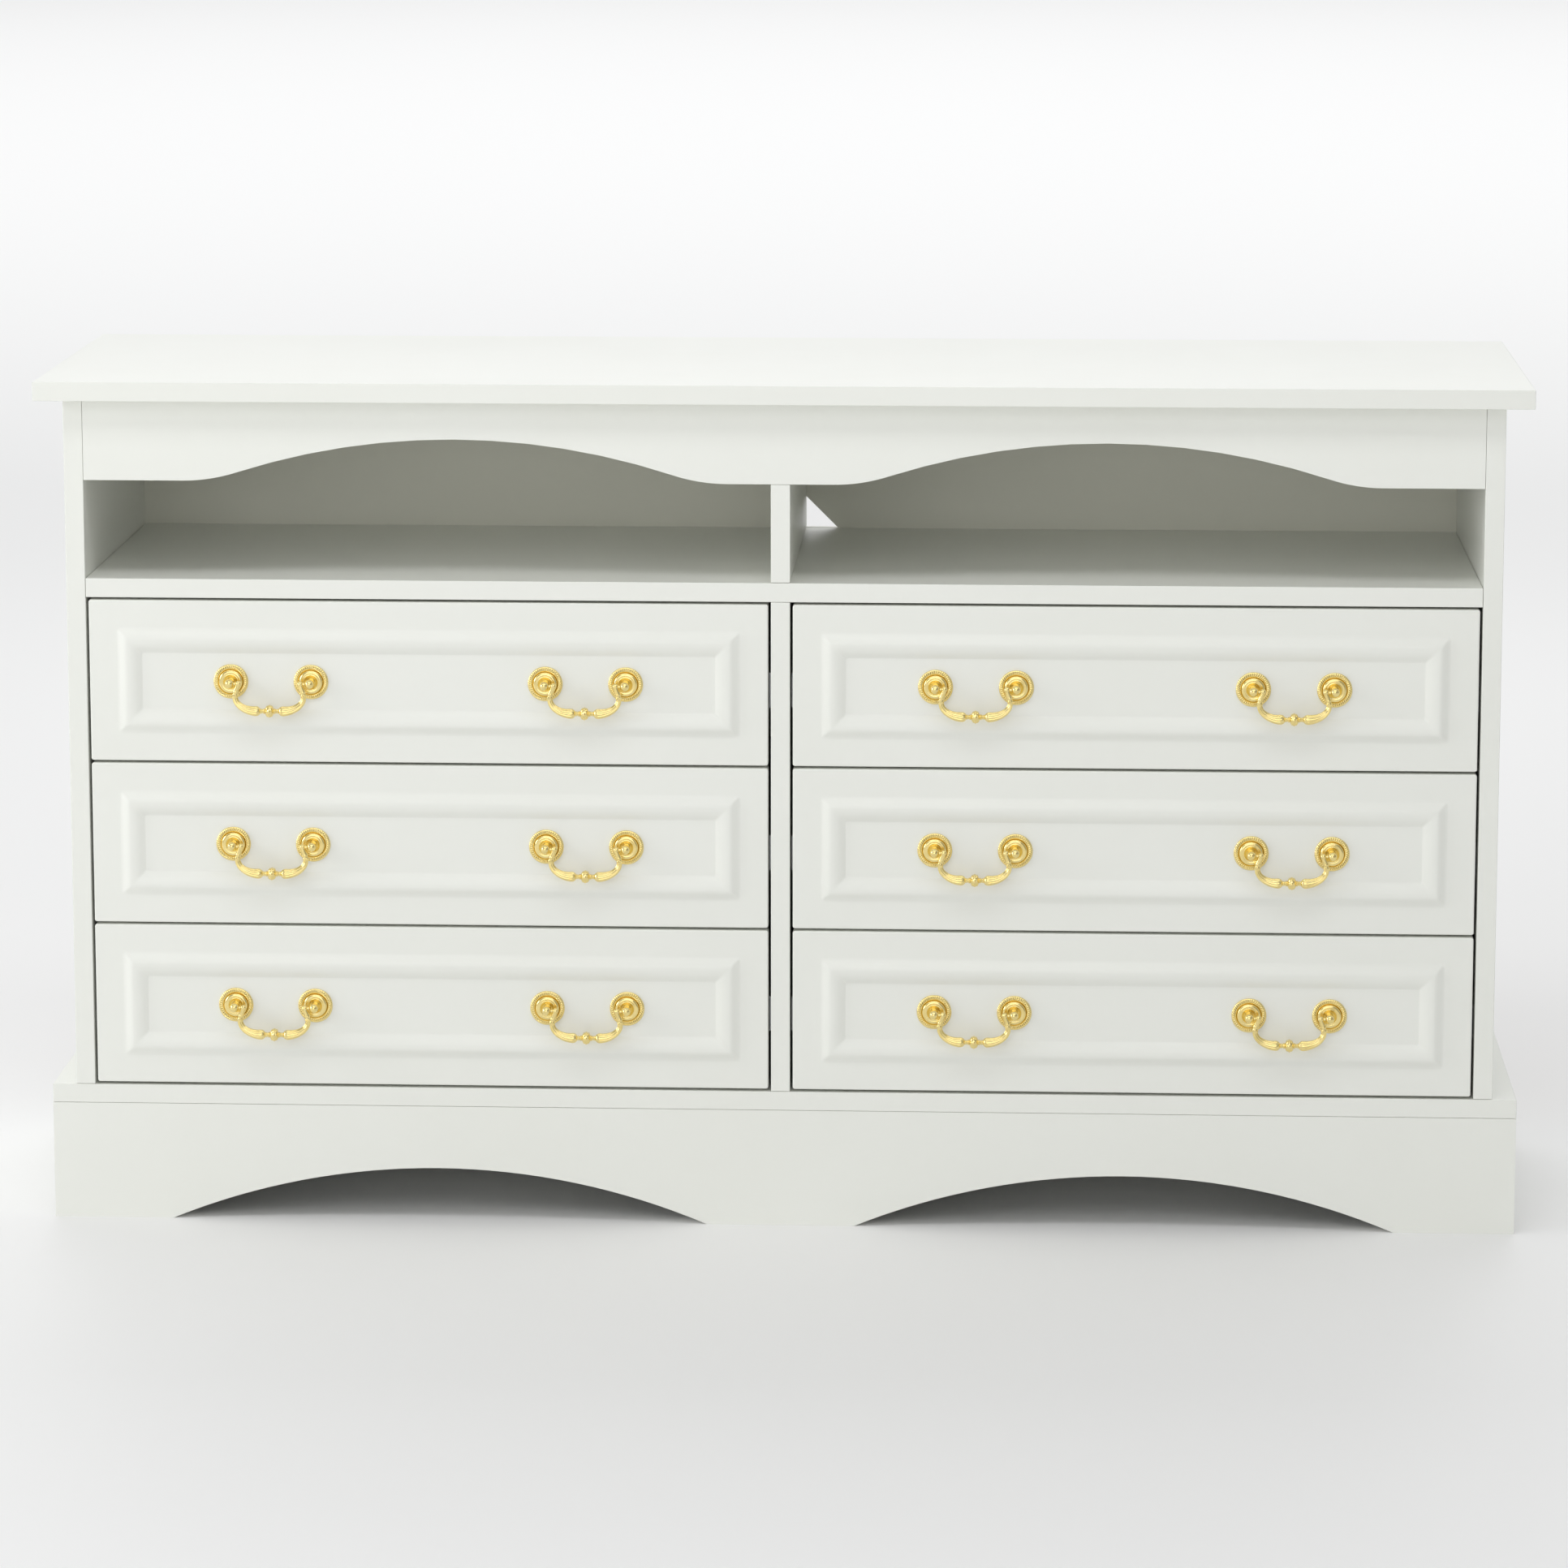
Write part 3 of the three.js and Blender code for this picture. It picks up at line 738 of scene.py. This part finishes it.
def make_drawer(name, patterns, finishes):
    """One drawer, with its front, two pulls, box and runners."""
    body = f"drawer_{name}"
    low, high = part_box(f"drawer_{name}_front")
    centre = Vector(((low.x + high.x) / 2, high.y - FRONT_BOARD, (low.z + high.z) / 2))
    about = Matrix.Rotation(math.pi, 4, "Z")
    place(
        patterns["front"], f"drawer_{name}_front_board", body, centre,
        replaces=[f"drawer_{name}_front"],
    )
    for index, end in enumerate((-1, 1)):
        pull = centre + Vector((end * PULL_SPACING / 2, 0, 0))
        bail = f"bail_{name}_{index + 1}"
        pivot = pull - Vector((0, PIVOT_OUT, 0))
        place(patterns["bail"], f"{bail}_swing", bail, pivot, replaces=[bail])
        for side, word in ((-1, "left"), (1, "right")):
            foot = pull + Vector((side * POST_SPACING / 2, 0, 0))
            label = f"pull_{name}_{index + 1}_{word}"
            place(patterns["rosette"], f"{label}_rosette", body, foot)
            place(patterns["post"], f"{label}_post", body, foot)
            behind = foot + Vector((0, FRONT_BOARD, 0))
            place(patterns["handle_screw"], f"{label}_screw", body, behind, about)
    make_drawer_box(name, finishes["foil"], finishes["base"], patterns["cam"])
    make_runners(name, finishes["zinc"], patterns["runner_screw"])


def make_dresser():
    """The case's boards and the six drawers."""
    finishes = {
        "paint": white_paint("white_paint"), "back": back_board_finish(), "foil": drawer_foil(),
        "base": base_finish(), "brass": brass_finish(), "zinc": zinc_finish(),
    }
    dress_boards(finishes["paint"], finishes["back"])
    low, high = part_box("drawer_top_left_front")
    patterns = {
        "front": drawer_front_pattern(high.x - low.x, high.z - low.z, finishes["paint"]),
        "rosette": rosette_pattern(finishes["brass"]),
        "post": post_pattern(finishes["brass"]),
        "bail": bail_pattern(finishes["brass"]),
        "handle_screw": screw_pattern(4.2 * MM, 2.4 * MM, finishes["zinc"]),
        "runner_screw": screw_pattern(3.4 * MM, 1.6 * MM, finishes["zinc"]),
        "cam": screw_pattern(7.5 * MM, 0.9 * MM, finishes["zinc"]),
    }
    for row in ROWS:
        for column in COLUMNS:
            make_drawer(f"{row}_{column}", patterns, finishes)


# ---- Studio ----


def make_floor():
    """A plain pale floor that reaches out of every view."""
    graph = Graph("studio_floor")
    finish = graph.surface({"Base Color": (0.9, 0.9, 0.895, 1), "Roughness": 0.6})
    bm = bmesh.new()
    bmesh.ops.create_grid(bm, x_segments=1, y_segments=1, size=FLOOR_REACH)
    mesh = bpy.data.meshes.new("studio_floor")
    bm.to_mesh(mesh)
    bm.free()
    mesh.materials.append(finish)
    floor = bpy.data.objects.new("studio_floor", mesh)
    bpy.context.scene.collection.objects.link(floor)


def add_light(name, at, target, size, power):
    """A rectangular lamp that isn't seen itself, pointed at a target, with its power in watts."""
    light = bpy.data.lights.new(name, "AREA")
    light.shape = "RECTANGLE"
    light.size, light.size_y = size
    light.energy = power
    light.color = LAMP_TINT
    lamp = bpy.data.objects.new(name, light)
    lamp.location = at
    lamp.rotation_euler = (Vector(target) - Vector(at)).to_track_quat("-Z", "Y").to_euler()
    lamp.visible_camera = False
    bpy.context.scene.collection.objects.link(lamp)


def make_studio():
    """Soft lamps in front, above, to the left and behind, over a pale floor."""
    make_floor()
    add_light("strip", (0, -1.1, 2.3), (0, -0.25, 0.4), (3.0, 0.5), 12)
    add_light("front", (-0.5, -4.5, 1.0), (0, -0.1, 0.4), (3.0, 1.2), 21)
    add_light("high", (0, -3.6, 2.6), (0, -0.1, 0.45), (3.2, 1.4), 16)
    add_light("low", (-3.2, -2.2, 0.9), (0, -0.1, 0.4), (1.6, 1.2), 5)
    add_light("side", (-3.4, -1.0, 1.4), (0, -0.2, 0.5), (1.4, 1.2), 30)
    add_light("rear", (0, 3.0, 2.6), (0, 0, 0.4), (3.2, 1.8), 21)
    add_light("backdrop", (0, 15.5, 7), (0, 15.5, 0), (22, 24), 1600)
    world = bpy.data.worlds.new("studio")
    bpy.context.scene.world = world
    world.use_nodes = True
    background = world.node_tree.nodes["Background"]
    background.inputs["Color"].default_value = (1, 1, 1, 1)
    background.inputs["Strength"].default_value = WORLD_STRENGTH
    bpy.context.scene.view_settings.view_transform = "Standard"


def make_camera():
    """A long lens, a little above and to the right of the dresser's middle."""
    camera = bpy.data.cameras.new("camera")
    camera.lens = CAMERA_LENS
    camera.shift_y = CAMERA_SHIFT
    holder = bpy.data.objects.new("camera", camera)
    holder.location = CAMERA_PLACE
    holder.rotation_euler = (math.radians(90 - CAMERA_DIP), 0, math.radians(CAMERA_TURN))
    bpy.context.scene.collection.objects.link(holder)
    bpy.context.scene.camera = holder


make_camera()
make_dresser()
make_studio()
